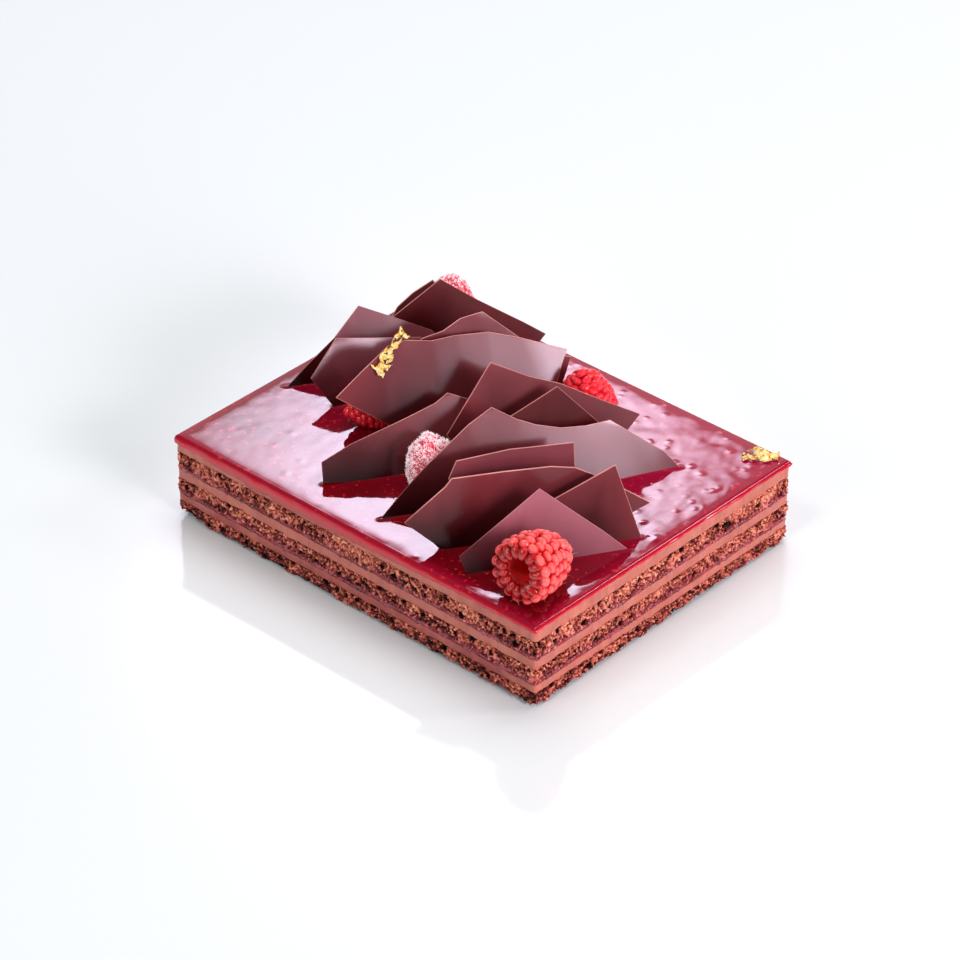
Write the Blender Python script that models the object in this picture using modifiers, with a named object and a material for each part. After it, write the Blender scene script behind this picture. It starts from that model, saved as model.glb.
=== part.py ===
"""Rectangular chocolate and raspberry entremet, built from its separate pieces.

Metres, +Z up. The origin is the middle of the underside; +X runs along the
long side. Sponge, ganache and jam lie in layers right through the cake, a red
glaze covers the top and hangs over one long side, and thin chocolate shards,
raspberries and two scraps of gold leaf stand on the glaze.
"""

import math
import random

import bmesh
import bpy
from mathutils import Matrix, Vector

MM = 0.001
SEED = 7
SMOOTH_ANGLE = 40
MERGE = 0.02 * MM

# Driving sizes of the cake.
LENGTH = 170.6 * MM
WIDTH = 133.9 * MM
HEIGHT = 33.5 * MM
GAP = 0.3 * MM

# The glaze hangs over the sides of the cake in a thin skirt.
SKIRT_THICKNESS = 0.55 * MM
SKIRT_CLEARANCE = 0.35 * MM
BODY_LENGTH = LENGTH - 2 * (SKIRT_THICKNESS + SKIRT_CLEARANCE)
BODY_WIDTH = WIDTH - 2 * (SKIRT_THICKNESS + SKIRT_CLEARANCE)
CORNER_RADIUS = 1.2 * MM

# Layers from the bottom: node name, kind, thickness in millimetres.
LAYERS = (
    ("sponge_base", "sponge", 5.9),
    ("ganache_lower", "ganache", 3.0),
    ("raspberry_jam_lower", "jam", 1.2),
    ("sponge_middle", "sponge", 5.6),
    ("ganache_middle", "ganache", 3.6),
    ("raspberry_jam_upper", "jam", 1.0),
    ("sponge_top", "sponge", 6.6),
    ("ganache_top", "ganache", 4.4),
    ("raspberry_glaze", "glaze", 2.2),
)

# How the side of each kind of layer is uneven: spacing of the points round the
# outline, rows up the side, furthest in and furthest out, share of deep pores
# and their depth.
SIDES = {
    "sponge": (5.0 * MM, 3, -0.7 * MM, 0.4 * MM, 0.10, 1.3 * MM),
    "ganache": (12.0 * MM, 1, -0.25 * MM, 0.0, 0.0, 0.0),
    "jam": (7.0 * MM, 1, -0.9 * MM, 0.1 * MM, 0.0, 0.0),
}

# The lower rim of the cake is ragged and lifts off the surface it stands on.
FOOT_INSET = 2.6 * MM
FOOT_LIFT = (0.1 * MM, 1.2 * MM)
CORNER_LIFT = 1.6 * MM
CORNER_LIFT_REACH = 13.0 * MM

# The skirt of glaze is deepest on the front long side.
GLAZE_SPACING = 7.0 * MM
GLAZE_RIM = 0.9 * MM
SKIRT_DEPTH = 0.3 * MM
DRIP_DEPTH = 3.1 * MM
DRIP_MIDDLE = -26.0 * MM
DRIP_REACH = 52.0 * MM
DRIP_RIPPLE = 0.4 * MM
DRIP_RIPPLE_LENGTH = 17.0 * MM

# Chocolate shards; gold leaf clings to one of them.
GILDED_SHARD = "chocolate_shard_gilded"
SHARD_THICKNESS = 0.9 * MM
SHARD_STRIP = 9.0 * MM
SHARD_BOW_RADIUS = 1.0

# Each shard stands on a straight foot line that runs across the cake at
# "heading" degrees from +X, "forward" millimetres in front of the middle of
# the cake, and leans back by "lean" degrees. Its outline is in millimetres:
# along the foot line, then up the face of the shard.
SHARDS = (
    ("chocolate_shard_front", 57.5, 22, 73.0,
     ((-24.4, 0), (32, 0), (3, 25.2), (-26.7, 6))),
    ("chocolate_shard_front_right", 57.0, 20, 67.4,
     ((16.8, 0), (38.7, 0), (31.4, 26.5), (10.1, 18.1), (7.8, 17.2))),
    ("chocolate_shard_curved_top", 55.0, 15, 58.3,
     ((-26.7, 0), (29.6, 0), (46.5, 6.8), (38.1, 12.6), (27.6, 19.5),
      (20.7, 23.2), (12.4, 24.7), (-3.9, 25), (-21.8, 24.6), (-24.2, 21.9), (-38.9, 10.6))),
    ("chocolate_shard_strip", 58.0, 22, 49.0,
     ((-17.8, 0), (20.2, 0), (21.6, 24.9), (-0.9, 26.1), (-19.9, 24.8), (-23.2, 19))),
    ("chocolate_shard_pale", 59.5, 30, 33.5,
     ((-46.2, 0), (62.4, 0), (57.4, 5.9), (39.4, 20.4), (30.7, 20), (21.6, 20.8),
      (12.8, 23.4), (6.3, 26.4), (-1.8, 31.8), (-10.9, 27.1), (-28.4, 14.8))),
    ("chocolate_shard_triangle", 60.0, 24, 22.0,
     ((-4.7, 0), (40.7, 0), (45.1, 5.6), (24.2, 29), (-5.5, 16.4))),
    ("chocolate_shard_middle", 59.0, 25, 12.5,
     ((-6.2, 0), (39.1, 0), (50.2, 4), (55.6, 9), (41, 17.1), (28, 24.6),
      (16.8, 29), (4, 35.8), (-14.6, 12.7))),
    ("chocolate_shard_left_low", 58.0, 31, 8.9,
     ((-59, 0.6), (-29.9, 0), (-4.9, 0), (-0.2, 20), (-11.1, 25.1), (-16.1, 22.2),
      (-26.4, 18.9), (-47.5, 12.6), (-58.6, 7.7))),
    (GILDED_SHARD, 58.5, 30, -7.0,
     ((-18.7, 0), (25.3, 0), (32, 13.9), (34.8, 20.1), (37.4, 24.6), (19.8, 31.9),
      (9.7, 35.3), (-2.8, 35.9), (-11.2, 35.3), (-20.1, 36.8), (-26.9, 35.6),
      (-37.6, 27.9), (-47.7, 20.2), (-32, 9.3))),
    ("chocolate_shard_sliver", 58.5, 24, -15.0,
     ((24, 0), (32.6, 0), (35.2, 8.9), (39.4, 18), (28.4, 21.8))),
    ("chocolate_shard_peak", 58.5, 27, -16.0,
     ((-14.4, 0), (15.1, 0), (25.5, 23.7), (9.9, 38), (1.6, 36.8), (-5.2, 33.3),
      (-13.4, 31.7))),
    ("chocolate_shard_left", 66.0, 33, -44.4,
     ((-37.5, 0), (-2.8, 0), (-0.4, 16.8), (-31.6, 23.3), (-44, 11.3))),
    ("chocolate_shard_left_high", 60.0, 30, -49.0,
     ((-33.9, 0), (-7.7, 0), (1.8, 12.4), (-0.7, 15.9), (-15.8, 23.9), (-26.1, 29),
      (-36.4, 19.2))),
    ("chocolate_shard_left_dark", 58.0, 33, -55.7,
     ((-57.2, 0), (-26.2, 0), (-21.9, 15.8), (-30.6, 19.6), (-36.9, 14.9))),
    ("chocolate_shard_back", 58.5, 24, -58.0,
     ((-14, 0), (31.2, 0), (38.7, 0.8), (41.6, 3.4), (33.5, 9.2), (17.4, 19.9),
      (4.6, 29.3), (-13.9, 18.3), (-17.6, 16.1))),
    ("chocolate_shard_back_thin", 58.5, 24, -66.0,
     ((-14.8, 0), (-0.5, 0), (7.2, 17.4), (3.6, 25.1), (-4.4, 21.5), (-10.7, 17.2),
      (-14.9, 11.5))),
)

# Raspberries: node name, middle of the open end (x, y in millimetres), length,
# greatest radius, heading and rise of the line from the open end to the tip
# (degrees), depth of the hollow.
RASPBERRIES = (
    ("raspberry_front", (71.3, -59.8), 25.0, 11.4, 94, -9, 14.0),
    ("raspberry_frosted_middle", (5.1, -28.6), 18.5, 9.4, 160, 62, 0.0),
    ("raspberry_left", (-33.6, -8.0), 18.0, 8.9, 238, -9, 0.0),
    ("raspberry_right", (16.5, 38.9), 19.5, 9.9, 250, 78, 0.0),
    ("raspberry_frosted_back", (-64.2, 58.8), 17.0, 8.4, 262, -9, 0.0),
)
# Outline of a raspberry: share of its length from the open end, share of its
# greatest radius.
RASPBERRY_PROFILE = (
    (0.00, 0.80), (0.07, 0.96), (0.20, 1.00), (0.36, 0.965), (0.52, 0.88),
    (0.68, 0.75), (0.82, 0.57), (0.93, 0.34), (1.00, 0.0),
)
HOLLOW_MOUTH = 0.56
HOLLOW_END = 0.24
HOLLOW_RINGS = 3
DRUPELETS_ROUND = 9
DRUPELET_ROWS = 7
POINTS_PER_DRUPELET = 4
DRUPELET_HEIGHT = 0.6 * MM
# Share of the drupelet height that is a ridge right round the berry; the rest
# parts the ridge into drupelets.
DRUPELET_RIDGE = 0.6

# Gold leaf: two crumpled scraps. Each has its place, length, width, how far it
# curves to a side (share of its width) and its turn in degrees. The first is
# placed along and up the face of the shard that it clings to, the second on
# the glaze, where its far edge stands up.
LEAF_ON_SHARD = ((-26.6 * MM, 33.4 * MM), 17.0 * MM, 5.5 * MM, 0.3, 35)
LEAF_ON_GLAZE = ((76.5 * MM, 60.4 * MM), 12.6 * MM, 6.4 * MM, -0.08, 40)
LEAF_ON_GLAZE_TILT = 24
LEAF_THICKNESS = 0.2 * MM
LEAF_WAVE = 0.45 * MM
LEAF_LIFT = 0.5 * MM
# How much narrower the waists of a scrap are, and how far its edge is torn, as
# shares of its width.
LEAF_WAIST = 0.4
LEAF_TEAR = 0.12

COLOURS = {
    "sponge": (0.115, 0.036, 0.022, 0.85, 0.0),
    "ganache": (0.33, 0.125, 0.085, 0.45, 0.0),
    "jam": (0.22, 0.018, 0.045, 0.30, 0.0),
    "glaze": (0.36, 0.006, 0.028, 0.06, 0.0),
    "chocolate": (0.085, 0.020, 0.018, 0.35, 0.0),
    "raspberry": (0.62, 0.035, 0.050, 0.35, 0.0),
    "frosted_raspberry": (0.80, 0.42, 0.47, 0.60, 0.0),
    "gold_leaf": (0.83, 0.56, 0.16, 0.25, 1.0),
}


def clear_scene():
    for item in list(bpy.data.objects):
        bpy.data.objects.remove(item, do_unlink=True)


def material(kind):
    """The Principled material of one kind of piece, made once."""
    found = bpy.data.materials.get(kind)
    if found:
        return found
    red, green, blue, roughness, metallic = COLOURS[kind]
    made = bpy.data.materials.new(kind)
    made.use_nodes = True
    shader = made.node_tree.nodes["Principled BSDF"]
    shader.inputs["Base Color"].default_value = (red, green, blue, 1.0)
    shader.inputs["Roughness"].default_value = roughness
    shader.inputs["Metallic"].default_value = metallic
    return made


def add_object(name, bm, kind, collection, smooth=False):
    """Turn a bmesh into a named object with its material."""
    bmesh.ops.recalc_face_normals(bm, faces=bm.faces)
    mesh = bpy.data.meshes.new(name)
    bm.to_mesh(mesh)
    bm.free()
    if smooth:
        mesh.shade_smooth()
        mesh.set_sharp_from_angle(angle=math.radians(SMOOTH_ANGLE))
    mesh.materials.append(material(kind))
    made = bpy.data.objects.new(name, mesh)
    collection.objects.link(made)
    return made


def add_solidify(made, thickness):
    """Give an open sheet its thickness, half to each side."""
    shell = made.modifiers.new("Thickness", "SOLIDIFY")
    shell.thickness = thickness
    shell.offset = 0.0
    shell.use_even_offset = True


def slab(length, width, low, high, spacing, rows):
    """A box with points round its outline and rows up its sides."""
    bm = bmesh.new()
    bmesh.ops.create_cube(bm, size=1.0)
    bmesh.ops.scale(bm, vec=(length, width, high - low), verts=bm.verts)
    bmesh.ops.translate(bm, vec=(0, 0, (low + high) / 2), verts=bm.verts)
    uprights = [e for e in bm.edges if abs(e.verts[0].co.z - e.verts[1].co.z) > GAP]
    bmesh.ops.bevel(bm, geom=uprights, offset=CORNER_RADIUS, segments=2, profile=0.5,
                    affect="EDGES")
    bmesh.ops.delete(bm, geom=[f for f in bm.faces if f.normal.z < 0.9], context="FACES")
    for edge in [e for e in bm.edges if e.calc_length() > 2 * spacing]:
        cuts = round(edge.calc_length() / spacing) - 1
        bmesh.ops.bisect_edges(bm, edges=[edge], cuts=cuts)
    end = list(bm.faces)
    for row in range(rows):
        grown = bmesh.ops.extrude_face_region(bm, geom=end)["geom"]
        moved = [g for g in grown if isinstance(g, bmesh.types.BMVert)]
        bmesh.ops.translate(bm, vec=(0, 0, (low - high) / rows), verts=moved)
        if row > 0:
            bmesh.ops.delete(bm, geom=end, context="FACES_ONLY")
        end = [g for g in grown if isinstance(g, bmesh.types.BMFace)]
    bmesh.ops.recalc_face_normals(bm, faces=bm.faces)
    return bm


def outward(point, length, width):
    """The direction straight out of the side that a point lies on."""
    to_end = length / 2 - abs(point.x)
    to_long_side = width / 2 - abs(point.y)
    along_x = Vector((math.copysign(1, point.x), 0, 0))
    along_y = Vector((0, math.copysign(1, point.y), 0))
    if to_end < CORNER_RADIUS and to_long_side < CORNER_RADIUS:
        return (along_x + along_y).normalized()
    return along_x if to_end < to_long_side else along_y


def add_layer(name, kind, low, high, collection, draws):
    """A layer of the cake with the uneven side of its kind."""
    spacing, rows, inner, outer, pore_share, pore_depth = SIDES[kind]
    bm = slab(BODY_LENGTH, BODY_WIDTH, low, high, spacing, rows)
    for vert in bm.verts:
        push = draws.uniform(inner, outer)
        if draws.random() < pore_share:
            push -= pore_depth
        vert.co += push * outward(vert.co, BODY_LENGTH, BODY_WIDTH)
    if low < GAP:
        make_ragged_foot(bm, draws)
    bmesh.ops.triangulate(bm, faces=[f for f in bm.faces if len(f.verts) > 4])
    add_object(name, bm, kind, collection)


def make_ragged_foot(bm, draws):
    """Lift the lower rim here and there round a flat middle to stand on."""
    underside = [f for f in bm.faces if f.normal.z < -0.9]
    bmesh.ops.inset_region(bm, faces=underside, thickness=FOOT_INSET, use_even_offset=True)
    flat = {v for f in underside for v in f.verts}
    corner = Vector((-BODY_LENGTH / 2, -BODY_WIDTH / 2))
    for vert in bm.verts:
        if vert.co.z > GAP or vert in flat:
            continue
        reach = (vert.co.xy - corner).length / CORNER_LIFT_REACH
        vert.co.z = draws.uniform(*FOOT_LIFT) + CORNER_LIFT * math.exp(-reach * reach)


def drip(x):
    """How far the glaze hangs down the front long side."""
    reach = (x - DRIP_MIDDLE) / DRIP_REACH
    ripple = DRIP_RIPPLE * math.sin(2 * math.pi * x / DRIP_RIPPLE_LENGTH)
    return (DRIP_DEPTH + ripple) * math.exp(-reach * reach)


def add_glaze(name, low, high, collection):
    """The glaze: a slab with a rounded rim and a skirt below it."""
    bm = slab(LENGTH, WIDTH, low, high, GLAZE_SPACING, 1)
    top = [f for f in bm.faces if f.normal.z > 0.9]
    rim = [e for e in bm.edges if len(set(e.link_faces) & set(top)) == 1]
    bmesh.ops.bevel(bm, geom=rim, offset=GLAZE_RIM, segments=2, profile=0.5, affect="EDGES")
    underside = [f for f in bm.faces if f.normal.z < -0.9]
    ring = bmesh.ops.inset_region(bm, faces=underside, thickness=SKIRT_THICKNESS,
                                  use_even_offset=True)["faces"]
    grown = bmesh.ops.extrude_face_region(bm, geom=ring)["geom"]
    bmesh.ops.delete(bm, geom=[f for f in ring if f.is_valid], context="FACES_ONLY")
    for vert in [g for g in grown if isinstance(g, bmesh.types.BMVert)]:
        vert.co.z -= SKIRT_DEPTH
        if vert.co.y < -WIDTH / 2 + 2 * SKIRT_THICKNESS:
            vert.co.z -= drip(vert.co.x)
    bmesh.ops.triangulate(bm, faces=[f for f in bm.faces if len(f.verts) > 4])
    add_object(name, bm, "glaze", collection, smooth=True)


def shard_frame(heading, lean, forward):
    """Where a shard stands: along its foot, up its face, out of its face."""
    turn = math.radians(heading)
    tip = math.radians(lean)
    along = Vector((math.cos(turn), math.sin(turn), 0))
    facing = Vector((math.sin(turn), -math.cos(turn), 0))
    up = math.cos(tip) * Vector((0, 0, 1)) - math.sin(tip) * facing
    height = HEIGHT + GAP + SHARD_THICKNESS / 2 * math.sin(tip)
    origin = forward * MM * facing + Vector((0, 0, height))
    out = along.cross(up)
    frame = Matrix((along, up, out)).transposed().to_4x4()
    frame.translation = origin
    return frame, facing


def add_shard(name, heading, lean, forward, outline, collection):
    """A thin sheet of chocolate cut to its outline and slightly bowed."""
    frame, facing = shard_frame(heading, lean, forward)
    bm = bmesh.new()
    corners = [bm.verts.new((a * MM, b * MM, 0)) for a, b in outline]
    bm.faces.new(corners)
    left = min(v.co.x for v in bm.verts)
    right = max(v.co.x for v in bm.verts)
    middle = (left + right) / 2
    strips = max(2, round((right - left) / SHARD_STRIP))
    for cut in range(1, strips):
        where = left + (right - left) * cut / strips
        bmesh.ops.bisect_plane(bm, geom=bm.verts[:] + bm.edges[:] + bm.faces[:],
                               plane_co=(where, 0, 0), plane_no=(1, 0, 0))
    bmesh.ops.triangulate(bm, faces=bm.faces)
    for vert in bm.verts:
        bow = (vert.co.x - middle) ** 2 / (2 * SHARD_BOW_RADIUS)
        vert.co = frame @ vert.co - bow * facing
    made = add_object(name, bm, "chocolate", collection)
    add_solidify(made, SHARD_THICKNESS)


def profile_radius(share):
    """Radius share of a raspberry at a share of its length."""
    for (a0, r0), (a1, r1) in zip(RASPBERRY_PROFILE, RASPBERRY_PROFILE[1:]):
        if share <= a1:
            return r0 + (r1 - r0) * (share - a0) / (a1 - a0)
    return 0.0


def raspberry_point(ring, rings, angle, length, radius):
    """A point on the skin of a raspberry; its axis is z, its open end at 0."""
    share = ring / rings
    row = share * DRUPELET_ROWS
    shift = math.pi * (int(row) % 2)
    parting = math.cos(DRUPELETS_ROUND * angle + shift)
    beads = DRUPELET_RIDGE + (1 - DRUPELET_RIDGE) * parting
    bump = math.sin(math.pi * (row % 1.0)) * beads
    reach = max(0.0, radius * profile_radius(1 - share) - DRUPELET_HEIGHT * (1 - bump))
    return Vector((reach * math.cos(angle), reach * math.sin(angle), length * (1 - share)))


def raspberry_body(length, radius, hollow):
    """A sphere drawn into a raspberry; the last rings line its hollow."""
    outer_rings = 2 * DRUPELET_ROWS
    inner_rings = HOLLOW_RINGS if hollow else 1
    total = outer_rings + inner_rings
    bm = bmesh.new()
    bmesh.ops.create_uvsphere(bm, u_segments=DRUPELETS_ROUND * POINTS_PER_DRUPELET,
                              v_segments=total, radius=1.0)
    for vert in bm.verts:
        ring = round(math.acos(max(-1.0, min(1.0, vert.co.z))) / math.pi * total)
        angle = math.atan2(vert.co.y, vert.co.x)
        if ring <= outer_rings:
            vert.co = raspberry_point(ring, outer_rings, angle, length, radius)
            continue
        inward = (ring - outer_rings - 1) / max(1, inner_rings - 1)
        reach = radius * (HOLLOW_MOUTH + (HOLLOW_END - HOLLOW_MOUTH) * inward)
        reach = 0 if ring == total else reach
        vert.co = Vector((reach * math.cos(angle), reach * math.sin(angle), hollow * inward))
    bmesh.ops.remove_doubles(bm, verts=bm.verts, dist=MERGE)
    return bm


def add_raspberry(name, place, length, radius, heading, rise, hollow, kind, collection):
    """A raspberry resting on the glaze, its tip turned to its heading."""
    bm = raspberry_body(length * MM, radius * MM, hollow * MM)
    turn = math.radians(heading)
    lift = math.radians(rise)
    level = math.cos(lift)
    axis = Vector((math.cos(turn) * level, math.sin(turn) * level, math.sin(lift)))
    bmesh.ops.rotate(bm, matrix=axis.to_track_quat("Z", "Y").to_matrix(), verts=bm.verts)
    rest = HEIGHT + GAP - min(v.co.z for v in bm.verts)
    bmesh.ops.translate(bm, vec=(place[0] * MM, place[1] * MM, rest), verts=bm.verts)
    add_object(name, bm, kind, collection, smooth=True)


def add_gold_leaf(name, length, width, curve, frame, collection):
    """A crumpled scrap of gold leaf: a wavy sheet with a torn outline."""
    bm = bmesh.new()
    bmesh.ops.create_grid(bm, x_segments=8, y_segments=3, size=0.5)
    for vert in bm.verts:
        a, b = vert.co.x, vert.co.y
        waist = 1.0 - LEAF_WAIST * math.cos(8.2 * a) ** 2
        torn = LEAF_TEAR * math.sin(11 * a + 4 * b)
        wave = math.sin(9 * a + 2.1) * math.cos(5 * b + 3 * a)
        vert.co = Vector((
            length * (a + torn * b / 2),
            width * (b * waist + curve * math.sin(4.2 * a) + torn),
            LEAF_WAVE * (1 + wave),
        ))
    bmesh.ops.triangulate(bm, faces=bm.faces)
    bmesh.ops.transform(bm, matrix=frame, verts=bm.verts)
    made = add_object(name, bm, "gold_leaf", collection)
    add_solidify(made, LEAF_THICKNESS)


def add_leaves(collection):
    """One scrap clings to the gilded shard, one lies on the glaze corner."""
    place, length, width, curve, turn = LEAF_ON_SHARD
    shard = next(s for s in SHARDS if s[0] == GILDED_SHARD)
    face, _ = shard_frame(*shard[1:4])
    frame = face @ Matrix.Translation((*place, SHARD_THICKNESS / 2 + LEAF_LIFT))
    frame = frame @ Matrix.Rotation(math.radians(turn), 4, "Z")
    add_gold_leaf("gold_leaf_on_shard", length, width, curve, frame, collection)

    place, length, width, curve, turn = LEAF_ON_GLAZE
    tilt = math.radians(LEAF_ON_GLAZE_TILT)
    lying = HEIGHT + LEAF_LIFT + width * (0.4 + abs(curve)) * math.sin(tilt)
    frame = Matrix.Translation((*place, lying))
    frame = frame @ Matrix.Rotation(math.radians(turn), 4, "Z") @ Matrix.Rotation(tilt, 4, "X")
    add_gold_leaf("gold_leaf_on_glaze", length, width, curve, frame, collection)


def build():
    clear_scene()
    collection = bpy.data.collections.new("entremet")
    bpy.context.scene.collection.children.link(collection)
    draws = random.Random(SEED)
    low = 0.0
    for name, kind, thickness in LAYERS:
        high = low + thickness * MM
        if kind == "glaze":
            add_glaze(name, low, high, collection)
        else:
            add_layer(name, kind, low, high - GAP, collection, draws)
        low = high
    for name, heading, lean, forward, outline in SHARDS:
        add_shard(name, heading, lean, forward, outline, collection)
    for name, place, length, radius, heading, rise, hollow in RASPBERRIES:
        kind = "frosted_raspberry" if "frosted" in name else "raspberry"
        add_raspberry(name, place, length, radius, heading, rise, hollow, kind, collection)
    add_leaves(collection)


build()
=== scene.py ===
# %% [markdown]
# # A chocolate and raspberry entremet
#
# The cake is a low rectangular block: three thin chocolate sponges, three
# bands of ganache and two seams of raspberry jam under a mirror glaze. Sixteen
# chocolate shards lean on the glaze among five raspberries and two scraps of
# gold leaf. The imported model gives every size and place, so it is loaded first
# and each finished piece is made where its plain solid stands.

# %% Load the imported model
import random
from math import cos, exp, pi, radians, sin, sqrt

import bmesh
import bpy
import numpy as np
from mathutils import Matrix, Vector, noise


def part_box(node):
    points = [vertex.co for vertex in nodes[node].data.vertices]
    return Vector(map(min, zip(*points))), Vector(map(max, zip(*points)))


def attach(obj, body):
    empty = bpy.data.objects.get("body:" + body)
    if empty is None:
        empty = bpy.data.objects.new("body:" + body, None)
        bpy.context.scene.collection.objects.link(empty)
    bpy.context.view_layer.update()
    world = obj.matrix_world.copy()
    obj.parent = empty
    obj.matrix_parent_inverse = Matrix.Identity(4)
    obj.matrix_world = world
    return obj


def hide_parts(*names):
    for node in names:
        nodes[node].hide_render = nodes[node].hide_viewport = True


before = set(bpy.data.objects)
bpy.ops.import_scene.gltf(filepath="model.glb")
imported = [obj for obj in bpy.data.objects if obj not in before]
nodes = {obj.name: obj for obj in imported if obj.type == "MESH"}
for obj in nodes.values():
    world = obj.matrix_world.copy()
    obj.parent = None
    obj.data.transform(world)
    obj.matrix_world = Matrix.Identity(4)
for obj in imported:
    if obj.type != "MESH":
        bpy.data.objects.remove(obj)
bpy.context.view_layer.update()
MM = 0.001


def linked(name, data):
    """A new object in the scene that holds this data."""
    made = bpy.data.objects.new(name, data)
    bpy.context.scene.collection.objects.link(made)
    return made


# %% [markdown]
# ## Nodes for the looks
#
# Materials are wired from a few small helpers. Each adds one node and gives back
# the socket that the next one reads.

# %% Node helpers


def tinted(name, colour, roughness, **more):
    """A new material with its Principled shader set; more holds its other inputs."""
    made = bpy.data.materials.new(name)
    made.use_nodes = True
    shader = made.node_tree.nodes["Principled BSDF"]
    shader.inputs["Base Color"].default_value = (*colour, 1)
    shader.inputs["Roughness"].default_value = roughness
    for key, value in more.items():
        shader.inputs[key.replace("_", " ")].default_value = value
    return made, made.node_tree, shader


def add_node(tree, kind, **inputs):
    """A shader node with its properties and input values set."""
    node = tree.nodes.new(kind)
    for name, value in inputs.items():
        if hasattr(node, name):
            setattr(node, name, value)
        else:
            node.inputs[name.replace("_", " ")].default_value = value
    return node


def noise_node(tree, size, detail=3.0, roughness=0.55):
    """Noise on Object coordinates, its size given in metres."""
    where = tree.nodes.new("ShaderNodeTexCoord")
    made = add_node(tree, "ShaderNodeTexNoise", Scale=1 / size, Detail=detail,
                    Roughness=roughness)
    tree.links.new(where.outputs["Object"], made.inputs["Vector"])
    return made.outputs["Fac"]


def ramp_node(tree, value, stops):
    """Colours along a value; stops are (position, (r, g, b))."""
    made = tree.nodes.new("ShaderNodeValToRGB")
    band = made.color_ramp
    while len(band.elements) < len(stops):
        band.elements.new(1.0)
    for element, (position, colour) in zip(band.elements, stops):
        element.position = position
        element.color = (*colour, 1)
    tree.links.new(value, made.inputs["Fac"])
    return made.outputs["Color"]


def feed(tree, socket, value):
    """Set a socket to a number or a colour, or link another socket to it."""
    if isinstance(value, (int, float)):
        socket.default_value = value
    elif isinstance(value, tuple):
        socket.default_value = (*value, 1)
    else:
        tree.links.new(value, socket)


def blend_node(tree, amount, first, second, blend="MIX"):
    made = add_node(tree, "ShaderNodeMix", data_type="RGBA", blend_type=blend)
    for place, value in ((0, amount), (6, first), (7, second)):
        feed(tree, made.inputs[place], value)
    return made.outputs[2]


def math_node(tree, operation, *values):
    made = add_node(tree, "ShaderNodeMath", operation=operation)
    for socket, value in zip(made.inputs, values):
        feed(tree, socket, value)
    return made.outputs[0]


def attribute_node(tree, name):
    made = tree.nodes.new("ShaderNodeAttribute")
    made.attribute_name = name
    return made.outputs["Fac"]


def wire(tree, shader, colour, height, distance, strength):
    """Link a colour and a bump to the shader."""
    bump = add_node(tree, "ShaderNodeBump", Strength=strength, Distance=distance)
    tree.links.new(colour, shader.inputs["Base Color"])
    tree.links.new(height, bump.inputs["Height"])
    tree.links.new(bump.outputs["Normal"], shader.inputs["Normal"])


# %% [markdown]
# ## Camera, table and light
#
# The cake is seen from above one of its long corners through a long lens, so
# its edges stay almost parallel. It stands on a pale glossy table. Two soft
# lights behind it, faded to their borders, fill the mirror glaze with their
# reflection, and one on the right gives the chocolate its satin sheen. The rest
# light the top and the sides; two of them leave no reflection in the mirror.

# %% Camera
CAMERA_PLACE = Vector((0.7983, -0.8738, 0.8242))
CAMERA_AZIMUTH = radians(42.44)
CAMERA_ELEVATION = radians(34.21)
CAMERA_LENS = 152.3

camera_data = bpy.data.cameras.new("camera")
camera_data.lens = CAMERA_LENS
camera_data.sensor_width = 36.0
camera_data.clip_start = 0.05
camera = linked("camera", camera_data)
camera.location = CAMERA_PLACE
camera.rotation_euler = (pi / 2 - CAMERA_ELEVATION, 0, CAMERA_AZIMUTH)
bpy.context.scene.camera = camera
print("camera", round(CAMERA_PLACE.length, 3), "m from the cake")

# %% Table and soft lights
TABLE_SIZE = 12.0
TABLE_SAG = 0.0003


def soft_light(name, azimuth, elevation, distance, size, power, colour, mirrored=True):
    """A square light that faces the cake; azimuth 0 is in front of -Y."""
    turn, rise = radians(azimuth), radians(elevation)
    way = Vector((sin(turn) * cos(rise), -cos(turn) * cos(rise),
                  sin(rise)))
    data = bpy.data.lights.new(name, "AREA")
    data.shape = "RECTANGLE"
    data.size, data.size_y = size
    data.energy = power
    data.color = colour
    light = linked(name, data)
    light.visible_glossy = mirrored
    light.location = way * distance
    light.rotation_mode = "QUATERNION"
    light.rotation_quaternion = way.to_track_quat("Z", "Y")
    light.visible_camera = False
    return light


def fade_light(light, reach, gain):
    """Keep the middle of a light at full strength and fade it to its border."""
    light.data.use_nodes = True
    tree = light.data.node_tree
    place = add_node(tree, "ShaderNodeNewGeometry")
    shift = add_node(tree, "ShaderNodeMapping", vector_type="TEXTURE",
                     Location=(0.5, 0.5, 0), Scale=(*reach, 1))
    ball = add_node(tree, "ShaderNodeTexGradient", gradient_type="SPHERICAL")
    tree.links.new(place.outputs["Parametric"], shift.inputs["Vector"])
    tree.links.new(shift.outputs["Vector"], ball.inputs["Vector"])
    strength = math_node(tree, "MULTIPLY", ball.outputs["Fac"], gain)
    strength.node.use_clamp = True
    tree.links.new(strength, tree.nodes["Emission"].inputs["Strength"])


bpy.ops.mesh.primitive_plane_add(size=TABLE_SIZE, location=(0, 0, -TABLE_SAG))
table_top = bpy.context.object
table_top.name = "table_top"
white, _, _ = tinted("white_table", (0.74, 0.80, 0.80), 0.10, IOR=1.5)
table_top.data.materials.append(white)

world = bpy.data.worlds.new("studio")
world.use_nodes = True
world.node_tree.nodes["Background"].inputs["Color"].default_value = (1, 0.99, 0.985, 1)
world.node_tree.nodes["Background"].inputs["Strength"].default_value = 0.16
bpy.context.scene.world = world
bpy.context.scene.view_settings.view_transform = "Standard"

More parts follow.
